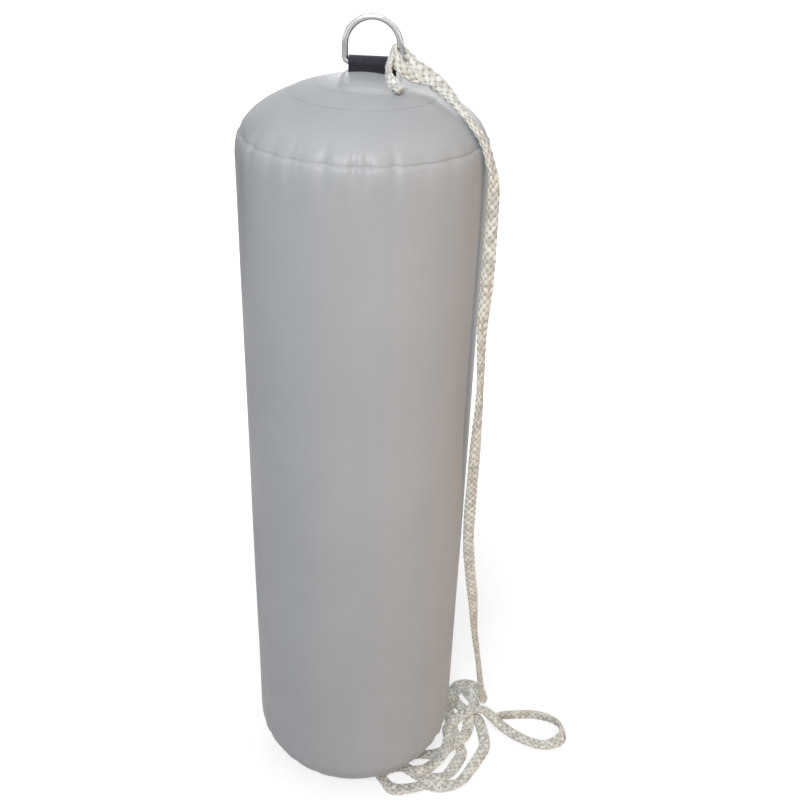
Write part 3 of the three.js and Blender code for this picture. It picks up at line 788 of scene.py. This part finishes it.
class FENDER_OT_webbing(bpy.types.Operator):
    """Build the woven strap that loops round the ring's bar."""

    bl_idname = "fender.webbing"
    bl_label = "Webbing Loop"

    def execute(self, context):
        body = context.scene.fender_body
        fitting = context.scene.fender_fitting
        line = webbing_line()
        left = fitting.offset - fitting.webbing_width / 2
        band = strip("webbing_strap", [(left, y, z) for y, z in line], (1, 0, 0), fitting.webbing_width, 44)
        points = points_of(band)
        x, y, z = points.T
        lengths = np.concatenate([[0], np.cumsum([math.dist(a, b) for a, b in zip(line, line[1:])])])
        route = np.array(line)
        nearest = np.argmin(((points[:, None, 1:] - route[None]) ** 2).sum(2), axis=1)
        mark(band, "along", lengths[nearest])
        mark(band, "across", x)
        # The tails follow the dome.
        lift = z - body.height - 0.0025
        seated = unit(1 - lift / 0.003)
        z -= seated * (dome_drop(np.hypot(x, y)) - dome_drop(np.abs(y)))
        # The tails' corners are rounded off.
        past = np.clip(np.abs(y) - tail_end() + TAIL_CORNER, 0, TAIL_CORNER)
        corner = TAIL_CORNER - np.sqrt(TAIL_CORNER**2 - past**2)
        half = fitting.webbing_width / 2
        x[:] = fitting.offset + (x - fitting.offset) * (1 - corner / half)
        # The free edges wave slightly, as a woven selvedge does.
        edge = unit((np.abs(x - fitting.offset) - 0.0205) / 0.002)
        free = unit((z - body.height - 0.004) / 0.004)
        x += edge * free * 0.0002 * np.sin(z * 1900)
        set_points(band, points)
        apply_modifier(band, "SOLIDIFY", thickness=fitting.webbing_thickness, offset=0)
        bevel(band, 0.0005, 3, 50)
        smooth(band, 50)
        finish_piece(band, strap_webbing(), "webbing", "fender", "webbing_loop")
        return {"FINISHED"}


def ring_outline():
    """(x, z) round the ring, from the middle of its bar."""
    fitting = bpy.context.scene.fender_fitting
    side = (fitting.webbing_width + fitting.wire) / 2 + 0.0005
    corner = 0.004
    leg = 0.0105
    outline = [(side * share, 0.0) for share in (0, 0.3, 0.6)]
    for step in range(13):
        angle = -math.pi / 2 + step / 12 * math.pi / 2
        outline.append((side - corner + corner * math.cos(angle), corner + corner * math.sin(angle)))
    outline += [(side, corner + leg * share) for share in (0.25, 0.5, 0.75)]
    for step in range(73):
        angle = step / 72 * math.pi
        outline.append((side * math.cos(angle), corner + leg + side * math.sin(angle)))
    mirrored = [(-x, z) for x, z in outline[1:19]]
    return outline + mirrored[::-1]


class FENDER_OT_ring(bpy.types.Operator):
    """Build the ring from one length of bent round wire."""

    bl_idname = "fender.ring"
    bl_label = "D-Ring"

    def execute(self, context):
        body = context.scene.fender_body
        fitting = context.scene.fender_fitting
        bar_z = body.height + BAR_RISE
        outline = [(fitting.offset + x, 0, bar_z + z) for x, z in ring_outline()]
        ring = drawn_line("bent_wire_ring", outline)
        bpy.ops.object.mode_set(mode="EDIT")
        bpy.ops.mesh.select_all(action="DESELECT")
        wire = bmesh.from_edit_mesh(ring.data)
        for vertex in wire.verts:
            vertex.select_set(len(vertex.link_edges) == 1)
        bmesh.update_edit_mesh(ring.data)
        bpy.ops.mesh.edge_face_add()
        bpy.ops.object.mode_set(mode="OBJECT")
        bpy.ops.object.convert(target="CURVE")
        ring = bpy.context.object
        ring.data.bevel_depth = fitting.wire / 2
        ring.data.bevel_resolution = 8
        bpy.ops.object.convert(target="MESH")
        ring = bpy.context.object
        ring.name = "bent_wire_ring"
        smooth(ring, 60)
        finish_piece(ring, polished_steel(), "polished_steel", "ring", "d_ring")
        return {"FINISHED"}


# Line: the stops of its route and where its flat side looks, in millimetres

eye_stops = [
    (54, 1.2, 884.6), (44.3, 6.2, 891), (38.5, 8, 895), (32.5, 8.4, 898.4), (28.3, 5.4, 900.2),
    (27.2, 0, 900.4), (27.6, -5.6, 899), (29.5, -10, 896.2), (33.5, -12.6, 890.5), (39.5, -13, 885.6),
    (46.5, -11.4, 881), (56, -8.6, 877), (65, -7.8, 874.6),
]
eye_faces = [
    (0.4, 0.4, 0.8), (0.2, 1, 0.3), (0, 1, 0.3), (-0.3, 1, 0.2), (-0.8, 0.6, 0.2), (-1, 0, 0.2),
    (-0.9, -0.5, 0.2), (-0.4, -1, 0.3), (0, -1, 0.3), (0.1, -1, 0.4), (0.2, -1, 0.4), (0.3, -1, 0.5),
    (0.4, -0.7, 0.7),
]
stub_stops = [
    (27.6, -9.5, 899), (25, -14.5, 893.5), (24.2, -19, 887.5), (25, -24, 881.8), (28.4, -31, 878.6),
    (33, -37, 876), (37.5, -42, 873.8),
]
stub_faces = [
    (-0.9, -0.6, 0.1), (-1, -0.5, 0.1), (-1, -0.2, 0.2), (-1, -0.1, 0.3), (-0.7, -0.2, 0.6),
    (-0.5, -0.1, 0.9), (-0.4, 0, 1),
]
# The splice starts inside the eye's two strands and ends in the fall, at its second stop.
splice_stops = [
    (40.8, -1, 892.6), (47.6, -0.7, 888.2), (57, -2.2, 882), (66, -5.5, 876.3), (74.5, -11, 870.8),
    (82, -18, 865.4), (88.6, -25.4, 860.6),
]
splice_faces = [
    (0.3, -0.5, 1), (0.5, -0.4, 0.9), (0.5, -0.6, 0.8), (0.4, -0.7, 0.7), (0.4, -0.7, 0.7), (0.5, -0.5, 0.8),
    (0.7, -0.2, 0.9),
]
fall_stops = [
    (89.4, -26.2, 859.4), (97.8, -32.8, 852.3), (106.3, -38.7, 843.9), (113.1, -42.2, 835.8),
    (118.9, -44.3, 826), (123.4, -44.8, 813), (127.6, -43.8, 797), (129, -42.6, 780),
    (129.8, -42, 736), (129.8, -42, 683), (128.8, -42, 638), (131.6, -42, 568),
    (131.7, -40, 491), (132.2, -28.1, 401), (133.7, -19.6, 351), (139.1, -9.5, 298),
    (146.6, 2.1, 241), (152.9, 16, 178), (162.3, 32, 111), (171.2, 49.5, 42),
    (173.9, 57.2, 17.2),
]
fall_faces = [
    (0.7, -0.2, 0.9), (0.8, -0.3, 0.8), (0.9, -0.3, 0.5), (1, -0.4, 0.3), (1, -0.4, 0.2),
    (1, -0.5, 0.2), (0.8, -0.8, 0.1), (0.5, -1, 0), (0.2, -1, 0), (0.3, -1, 0), (0.7, -0.7, 0),
    (0.9, -0.3, 0), (0.5, -0.9, 0), (0.1, -1, 0), (0.4, -0.9, 0), (0.1, -1, 0.1),
    (0.5, -0.8, 0.1), (0.9, -0.4, 0.2), (1, -0.2, 0.3), (0.9, -0.5, 0.3), (0.8, -0.5, 0.6),
]
# A stop of the heap without a height lies on the floor, which the line's middle clears by this much.
LAID = 3.8
heap_stops = [
    (x, y, height[0] if height else LAID) for x, y, *height in (
        (175, 61.6, 8.6), (176, 68, 5), (174, 78), (165, 89), (152, 93), (139, 87), (133, 72), (140, 56),
        (154, 42), (168, 27), (177, 6), (177, -18), (170, -42), (159, -63), (143, -81), (122, -90),
        (100, -92), (79, -97), (61, -98.5), (47.5, -91.5), (43.5, -79), (55.5, -65.5), (74, -66),
        (92, -76), (111, -79, 7.1), (129, -71), (141, -54), (146, -32), (141, -10), (133, 10),
        (129.5, 32), (130, 51, 9.4), (134.5, 66, 10.8), (148, 74.5, 9.4), (160.5, 67, 4.6),
        (163, 51, 8), (159, 32, 10.6), (154, 9), (147, -14, 10.8), (132, -30, 7.4), (113, -38),
        (94, -40), (77, -44.5, 4.3), (69, -57.5, 9.1), (76.5, -71, 10.9), (93, -74, 11),
        (109, -62, 7.7), (121, -45, 10), (128, -23, 15.1), (130, 0, 10.2), (140, 20, 11.6),
        (155, 29, 17.4), (170, 34, 15.3), (182, 34, 11), (191, 28, 7),
    )
]
heap_faces = [(0.6, -0.3, 1)] + [(0, 0, 1)] * (len(heap_stops) - 1)
# The last two stops go on into the line, where the eye's strand is spliced.
end_eye_stops = [
    (191.6, 27.7, 6.4), (199, 22, 4.2), (210, 12, LAID), (226, 1, LAID), (244, -7, LAID),
    (262, -9, LAID), (277, -3, 4.4), (286, 9, 5.6), (283, 25, 6.8), (268, 36, 7.1), (248, 40, 7.1),
    (228, 38.5, 7.1), (212, 36, 7.1), (200, 34.4, 7.1), (193, 33.4, 8), (186, 32.2, 9.2),
]
end_eye_faces = [(0, 0, 1)] * 6 + [
    (0.3, -0.2, 1), (1, 0, 0.8), (1, 0.5, 0.3), (0.3, 1, 0.1),
] + [(0, 1, 0)] * 4 + [(0, 1, 0.3)] * 2


def smooth_route(stops, faces, step):
    """Even steps along a centripetal spline through the stops: points, tangents and face directions."""
    stops = np.array(stops, float) * MM
    faces = np.array(faces, float)
    padded = np.vstack([2 * stops[0] - stops[1], stops, 2 * stops[-1] - stops[-2]])
    dense = []
    places = []
    for index in range(len(stops) - 1):
        p0, p1, p2, p3 = padded[index : index + 4]
        d0, d1, d2 = (math.sqrt(np.linalg.norm(b - a)) for a, b in ((p0, p1), (p1, p2), (p2, p3)))
        t1 = ((p1 - p0) / d0 - (p2 - p0) / (d0 + d1) + (p2 - p1) / d1) * d1
        t2 = ((p2 - p1) / d1 - (p3 - p1) / (d1 + d2) + (p3 - p2) / d2) * d1
        for share in np.linspace(0, 1, 60, endpoint=False):
            cubic = (2 * p1 - 2 * p2 + t1 + t2) * share**3 + (3 * p2 - 3 * p1 - 2 * t1 - t2) * share**2
            dense.append(cubic + t1 * share + p1)
            places.append(index + share)
    dense.append(stops[-1])
    places.append(len(stops) - 1)
    dense = np.array(dense)
    lengths = np.concatenate([[0], np.cumsum(np.linalg.norm(np.diff(dense, axis=0), axis=1))])
    even = np.linspace(0, lengths[-1], max(4, round(lengths[-1] / step)) + 1)
    points = np.column_stack([np.interp(even, lengths, dense[:, axis]) for axis in range(3)])
    place = np.interp(even, lengths, places)
    looks = np.column_stack([np.interp(place, range(len(stops)), faces[:, axis]) for axis in range(3)])
    tangents = np.gradient(points, axis=0)
    tangents /= np.linalg.norm(tangents, axis=1)[:, None]
    looks -= (looks * tangents).sum(1)[:, None] * tangents
    looks /= np.linalg.norm(looks, axis=1)[:, None]
    return points, tangents, looks, even


def loosened(stops, faces):
    """The heap's stops, with the small waves and tilts of a limp flat line."""
    wave, tilt = 1.6, 0.3
    moved = []
    for index, (x, y, z) in enumerate(stops):
        settled = wave * min(1, index / 4, (len(stops) - 1 - index) / 4)
        moved.append((x + settled * math.sin(index * 2.4), y + settled * math.cos(index * 1.9 + 1), z))
    tilted = [
        (x + tilt * math.sin(index * 1.7), y + tilt * math.cos(index * 2.3), z)
        for index, (x, y, z) in enumerate(faces)
    ]
    return moved, tilted


def strand_relief(around, along, strands, pitch):
    """Height, strand tone and yarn place of a plain diamond braid at shares round and metres along."""
    first = strands * around + along / (2 * pitch)
    second = strands * around - along / (2 * pitch)
    near_first, near_second = np.round(first), np.round(second)
    cross_first, cross_second = first - near_first, second - near_second
    # A strand is rounded across, and high where it passes over another.
    over = np.cos(np.pi * (near_first + second))
    under = np.cos(np.pi * (near_second + first))
    height_first = 0.55 * np.sqrt(unit(1 - (2 * cross_first) ** 2 * 0.96)) + 0.45 * over
    height_second = 0.55 * np.sqrt(unit(1 - (2 * cross_second) ** 2 * 0.96)) - 0.45 * under
    top_first = height_first >= height_second
    # A strand's tone is scattered by its number and by where it comes up.
    number = np.where(top_first, np.mod(near_first, strands), np.mod(near_second, strands) + 40)
    stretch = np.floor(np.where(top_first, second, first) / 2)
    tone = np.mod(np.sin(number * 12.9898 + stretch * 78.233) * 43758.5453, 1)
    yarn = np.where(top_first, cross_first, cross_second)
    return unit(np.maximum(height_first, height_second)), tone, yarn


def braided_piece(
    name, stops, faces, width=None, thickness=None, wide=(1.0, 1.0), thick=None, taper=(0.012, 0.012)
):
    """A flat braided line along a route. wide and thick are the shares of its size at its two ends."""
    skin = 0.0004
    floor_gap = 0.0003
    laid_below, spread, flattened = 0.04, 0.17, 0.08
    line = bpy.context.scene.fender_line
    width = width or line.width
    thickness = thickness or line.thickness
    points, tangents, looks, even = smooth_route(stops, faces, line.step)
    sides = np.cross(looks, tangents)
    around = line.around
    share = np.arange(around) / around
    angle = 2 * np.pi * share
    cos, sin = np.cos(angle), np.sin(angle)
    flat_x = np.sign(cos) * np.abs(cos) ** 0.85
    flat_y = np.sign(sin) * np.abs(sin) ** 0.85
    grid_along, grid_share = np.meshgrid(even, share, indexing="ij")
    height, tone, yarn = strand_relief(grid_share, grid_along, line.strands, line.pitch)
    near = np.minimum(even / taper[0], 1)
    far = np.minimum((even[-1] - even) / taper[1], 1)
    size_x, size_y = (
        (first + (1 - first) * near) * (last + (1 - last) * far) for first, last in (wide, thick or wide)
    )
    # A slack line spreads where it lies on the floor.
    laid = unit(1 - points[:, 2] / laid_below)
    size_x = size_x * (1 + spread * laid)
    size_y = size_y * (1 - flattened * laid)
    sag = 1 + 0.05 * np.sin(even * 61) * np.sin(even * 23 + 1)
    relief = line.relief * (height - 0.62)
    half_x = (width / 2) * (size_x * sag)[:, None] - skin + relief
    half_y = (thickness / 2) * (size_y / sag)[:, None] - skin + relief
    sideways = (half_x * flat_x)[..., None] * sides[:, None]
    ring = points[:, None] + sideways + (half_y * flat_y)[..., None] * looks[:, None]
    vertices = ring.reshape(-1, 3)
    vertices[:, 2] = np.maximum(vertices[:, 2], floor_gap)
    index = np.arange(len(vertices)).reshape(-1, around)
    after = np.roll(index, -1, axis=1)
    quads = np.stack([index[:-1], after[:-1], after[1:], index[1:]], axis=2).reshape(-1, 4)
    start_cap = len(vertices)
    vertices = np.vstack([vertices, ring[0].mean(0), ring[-1].mean(0)])
    fans = [(start_cap, int(after[0, i]), int(index[0, i])) for i in range(around)]
    fans += [(start_cap + 1, int(index[-1, i]), int(after[-1, i])) for i in range(around)]
    mesh = bpy.data.meshes.new(name)
    mesh.from_pydata(vertices.tolist(), [], quads.tolist() + fans)
    piece = bpy.data.objects.new(name, mesh)
    bpy.context.scene.collection.objects.link(piece)
    only(piece)
    begin_edit()
    end_edit(outward=True)
    mark(piece, "relief", np.append(height.ravel(), [0.3, 0.3]))
    mark(piece, "strand_tone", np.append(tone.ravel(), [0.5, 0.5]))
    mark(piece, "yarn", np.append(yarn.ravel(), [0, 0]))
    smooth(piece, 75)
    return piece, points, float(even[-1])


class FENDER_OT_line(bpy.types.Operator):
    """Build the flat braided line: eye, cut end, splice, fall, heap and end eye."""

    bl_idname = "fender.line"
    bl_label = "Braided Line"

    def execute(self, context):
        fibre = braided_fibre()
        # The eye's two strands go on into the splice, and the cut end starts inside the eye's bend.
        eye = braided_piece(
            "ring_eye_braid", eye_stops, eye_faces, 0.012, wide=(0.7, 0.6), taper=(0.012, 0.02)
        )[0]
        stub = braided_piece("cut_end_braid", stub_stops, stub_faces, 0.0108, wide=(0.8, 0.75))[0]
        splice = braided_piece(
            "splice_braid", splice_stops + [fall_stops[1]], splice_faces + [fall_faces[1]], 0.0162, 0.0112,
            wide=(0.85, 0.74), thick=(0.6, 0.43), taper=(0.012, 0.046),
        )[0]
        end_eye = braided_piece(
            "end_eye_braid", end_eye_stops, end_eye_faces, wide=(0.95, 0.5), taper=(0.012, 0.02)
        )[0]
        stops, faces = loosened(heap_stops, heap_faces)
        free, route, length = braided_piece("free_line_braid", fall_stops + stops, fall_faces + faces)
        for piece, node in ((eye, "line_ring_eye"), (stub, "line_stub")):
            finish_piece(piece, fibre, "braid", None, node)
            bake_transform(piece)
        finish_piece(splice, fibre, "braid", "fender", "line_ring_splice")
        finish_piece(end_eye, fibre, "braid", "fender", "line_end_eye")
        finish_piece(free, fibre, "braid", "fender", "line_fall", "line_heap")
        return {"FINISHED"}


# Valve


class FENDER_OT_valve(bpy.types.Operator):
    """Build the inflation valve on the back: patch, body, cap and strap."""

    bl_idname = "fender.valve"
    bl_label = "Inflation Valve"

    def execute(self, context):
        body = context.scene.fender_body
        valve_z = 0.735
        socket_radius = 0.0156

        def lay_on_wall(x, y, lift):
            wall = np.sqrt(body.radius**2 - x**2)
            return np.column_stack([x, wall + 0.0002 + lift, y + valve_z])

        patch = disc("valve_backing", 0.036, 30, 160, 0.0009, lay_on_wall)
        delete_faces(patch, lambda middle: math.hypot(middle.x, middle.z - valve_z) < socket_radius)
        if sum(polygon.normal.y for polygon in patch.data.polygons) < 0:
            patch.data.flip_normals()
        apply_modifier(patch, "SOLIDIFY", thickness=0.0006, offset=-1)
        mark(patch, "seam", np.zeros(len(patch.data.vertices)))
        smooth(patch, 50)
        finish_piece(patch, coated_fabric(), "coated_fabric", "fender", "valve_patch")
        for node, edge, material, slot, moving in (
            ("valve_body", 0.0003, valve_plastic(), "valve_plastic", "fender"),
            ("valve_cap", 0.00035, valve_plastic(), "valve_plastic", "cap"),
            ("cap_leash", 0.0002, leash_plastic(), "leash_plastic", "fender"),
        ):
            finish_piece(refined(node, edge), material, slot, moving, node)
        return {"FINISHED"}


# Stage


def soft_light(name, place, target, size, power, colour=(1, 1, 1), mirrored=True):
    """A rectangular lamp that looks at a target; reflections see it only where mirrored is true."""
    bpy.ops.object.select_all(action="DESELECT")
    bpy.ops.object.light_add(type="AREA", location=place)
    lamp = bpy.context.object
    lamp.name = name
    lamp.data.shape = "RECTANGLE"
    lamp.data.size, lamp.data.size_y = size
    lamp.data.energy = power
    lamp.data.color = colour
    lamp.rotation_euler = (Vector(target) - Vector(place)).to_track_quat("-Z", "Y").to_euler()
    lamp.visible_glossy = mirrored


def dark_card(name, place, size):
    """A dark board that only reflections see, which gives polished metal its dark lines."""
    bpy.ops.object.select_all(action="DESELECT")
    bpy.ops.mesh.primitive_plane_add(size=1, location=place)
    card = bpy.context.object
    card.name = name
    card.scale = (*size, 1)
    card.rotation_euler = (Vector((0, 0, 0.8)) - Vector(place)).to_track_quat("Z", "Y").to_euler()
    board = Recipe("dark_board", 0.9)
    board.shader.inputs["Base Color"].default_value = (0.02, 0.02, 0.022, 1)
    card.data.materials.append(board.material)
    card.visible_camera = False
    card.visible_diffuse = False
    card.visible_shadow = False


def seen_rays(tree, mirrored=1.0):
    """1 for the camera's rays, mirrored for those of a reflection or a glass, 0 for the rest."""
    path = tree.node("LightPath", {})
    found = path.outputs["Is Camera Ray"]
    for name in ("Is Glossy Ray", "Is Transmission Ray"):
        found = tree.maths("MAXIMUM", found, tree.maths("MULTIPLY", path.outputs[name], mirrored))
    return found


def pale_world(strength):
    """A white surround that is seen at full brightness and gives light at its own strength."""
    world = bpy.data.worlds.new("pale_studio")
    bpy.context.scene.world = world
    world.use_nodes = True
    tree = Nodes(world.node_tree)
    level = tree.node("MapRange", {"Value": seen_rays(tree), "To Min": strength, "To Max": 1.0})
    background = world.node_tree.nodes["Background"]
    background.inputs["Color"].default_value = (1, 1, 1, 1)
    tree.join(level.outputs["Result"], background.inputs["Strength"])


def floor_finish(colour):
    """Matt pale floor that looks white to the camera and keeps the shadow."""
    recipe = Recipe("pale_floor", 0.9)
    recipe.shader.inputs["Base Color"].default_value = (*colour, 1)
    recipe.shader.inputs["Specular IOR Level"].default_value = 0.0
    away = recipe.node("VectorMath", {0: recipe.place}, operation="LENGTH").outputs["Value"]
    whiteness = recipe.spread(away, 0.25, 1.1, 0.62, 1.0)
    glow = recipe.node("Emission", {"Strength": recipe.maths("MULTIPLY", seen_rays(recipe, 0.4), whiteness)})
    total = recipe.node("AddShader", {0: recipe.shader.outputs["BSDF"], 1: glow.outputs["Emission"]})
    recipe.join(total.outputs["Shader"], recipe.tree.nodes["Material Output"].inputs["Surface"])
    return recipe.material


class FENDER_OT_stage(bpy.types.Operator):
    """Add the camera, the pale floor and the soft studio lights."""

    bl_idname = "fender.stage"
    bl_label = "Stage"

    def execute(self, context):
        stage = context.scene.fender_stage
        bpy.ops.object.select_all(action="DESELECT")
        bpy.ops.object.camera_add(location=(0.09046, -0.9698, 1.08325))
        camera = context.object
        right = Vector((0.99734284, 0.06515084, 0.032598))
        up = Vector((-0.06068317, 0.4953706, 0.86655959))
        back = Vector((0.04030899, -0.86623515, 0.49800788))
        turn = Matrix((right, up, back)).transposed()
        camera.rotation_euler = turn.to_euler()
        camera.data.lens = stage.lens
        camera.data.sensor_width = 36
        context.scene.camera = camera
        bpy.ops.mesh.primitive_plane_add(size=30, location=(0, 0, -0.0002))
        floor = context.object
        floor.name = "studio_floor"
        floor.data.materials.append(floor_finish(tuple(stage.floor)))
        pale_world(stage.sky)
        key = stage.key
        soft_light("overhead_softbox", (-0.25, -0.55, 2.3), (0, 0, 0.6), (1.5, 1.1), key * 0.2)
        soft_light("front_softbox", (-0.2, -2.0, 2.25), (0, 0, 0.55), (0.8, 0.9), key * 1.4)
        warm = (1, 0.6, 0.32)
        soft_light("side_softbox", (1.7, -0.8, 0.5), (0, 0, 0.4), (0.7, 1.2), key * 0.35, warm, False)
        soft_light("rear_softbox", (0.3, 2.4, 1.7), (0, 0, 0.45), (1.8, 1.4), key * 0.65)
        dark_card("left_card", (-1.5, 1.1, 1.0), (0.9, 2.2))
        dark_card("right_card", (1.6, 1.0, 1.0), (0.9, 2.2))
        dark_card("high_card", (0, 1.5, 2.4), (2.4, 0.7))
        context.scene.view_settings.view_transform = "Standard"
        return {"FINISHED"}


class FENDER_PT_panel(bpy.types.Panel):
    """Lists the steps that build the fender and its stage."""

    bl_idname = "FENDER_PT_panel"
    bl_label = "Fender"
    bl_space_type = "VIEW_3D"
    bl_region_type = "UI"
    bl_category = "Fender"

    def draw(self, context):
        for operator in operators:
            self.layout.operator(operator.bl_idname)
        for group in setting_groups:
            settings = getattr(context.scene, group)
            box = self.layout.box()
            for name in settings.bl_rna.properties.keys():
                if name not in ("rna_type", "name"):
                    box.prop(settings, name)


operators = (
    FENDER_OT_stage, FENDER_OT_line, FENDER_OT_bag, FENDER_OT_side_seam, FENDER_OT_patches,
    FENDER_OT_webbing, FENDER_OT_ring, FENDER_OT_valve,
)
setting_groups = {
    "fender_body": FenderBodySettings,
    "fender_fitting": FenderFittingSettings,
    "fender_line": FenderLineSettings,
    "fender_stage": FenderStageSettings,
}


def register():
    for group, kind in setting_groups.items():
        bpy.utils.register_class(kind)
        setattr(bpy.types.Scene, group, bpy.props.PointerProperty(type=kind))
    for operator in operators:
        bpy.utils.register_class(operator)
    bpy.utils.register_class(FENDER_PT_panel)


def unregister():
    bpy.utils.unregister_class(FENDER_PT_panel)
    for operator in reversed(operators):
        bpy.utils.unregister_class(operator)
    for group, kind in setting_groups.items():
        delattr(bpy.types.Scene, group)
        bpy.utils.unregister_class(kind)


def main():
    register()
    bpy.ops.fender.stage()
    bpy.ops.fender.line()
    bpy.ops.fender.bag()
    bpy.ops.fender.side_seam()
    bpy.ops.fender.patches()
    bpy.ops.fender.webbing()
    bpy.ops.fender.ring()
    bpy.ops.fender.valve()


if __name__ == "__main__":
    main()
